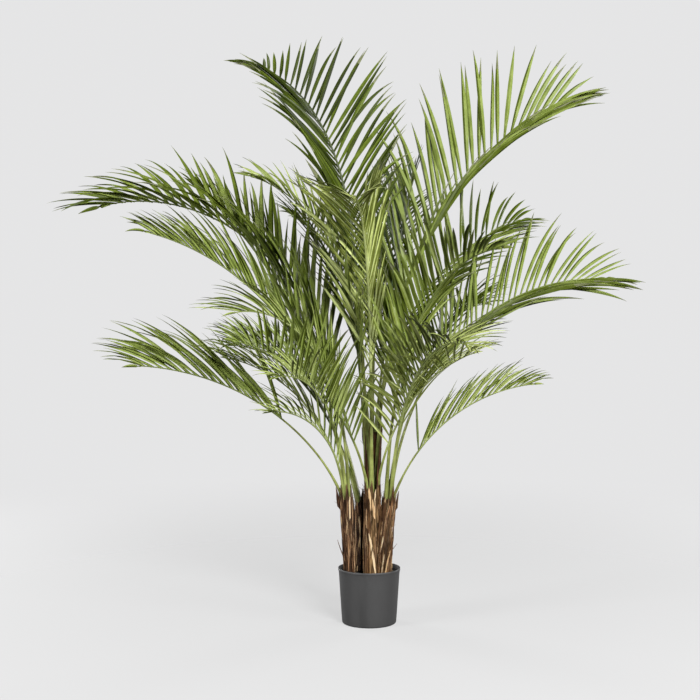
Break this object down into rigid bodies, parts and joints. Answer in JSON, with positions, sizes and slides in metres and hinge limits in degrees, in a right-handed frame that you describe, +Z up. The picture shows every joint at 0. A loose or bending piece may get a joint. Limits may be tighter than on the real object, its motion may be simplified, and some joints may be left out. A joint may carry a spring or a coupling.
{
  "type": "artificial areca palm in a nursery pot",
  "caption": "Artificial areca palm: husk-clad trunks set in the cement fill of a plain round nursery pot, with arching feather-shaped fronds on long stalks.",
  "frame": {"origin": "centre of the pot's flat underside", "axes": "+Z up out of the pot along the trunks, +X to the right and +Y away from the viewer of the plant's front"},
  "size_m": [1.7559, 1.3227, 1.7878],
  "materials": {
    "pot": "matte dark grey moulded plastic",
    "fill": "dark rough cement",
    "husk": "rough brown fibre and husk",
    "foliage": "satin green, printed on woven sheet"
  },
  "bodies": {
    "root": {"pot": "pot", "fill": "fill", "trunk_left": "husk", "trunk_rear": "husk", "trunk_front": "husk", "trunk_right": "husk", "trunk_tall": "husk", "frond_long_left": "foliage", "frond_under_left": "foliage", "frond_low_left": "foliage", "frond_mid_left": "foliage", "frond_near_left": "foliage", "frond_back_left": "foliage", "frond_small_left": "foliage", "frond_steep_left": "foliage", "frond_rear_left": "foliage", "frond_top_left": "foliage", "frond_high_left": "foliage", "frond_centre": "foliage", "frond_top_right": "foliage", "frond_front_right": "foliage", "frond_front_left": "foliage", "frond_long_right": "foliage", "frond_low_right": "foliage", "frond_near_right": "foliage", "frond_back_right": "foliage", "frond_side_right": "foliage", "frond_rear_right": "foliage", "frond_upright": "foliage", "frond_rear": "foliage", "frond_rear_centre": "foliage"}
  },
  "joints": []
}
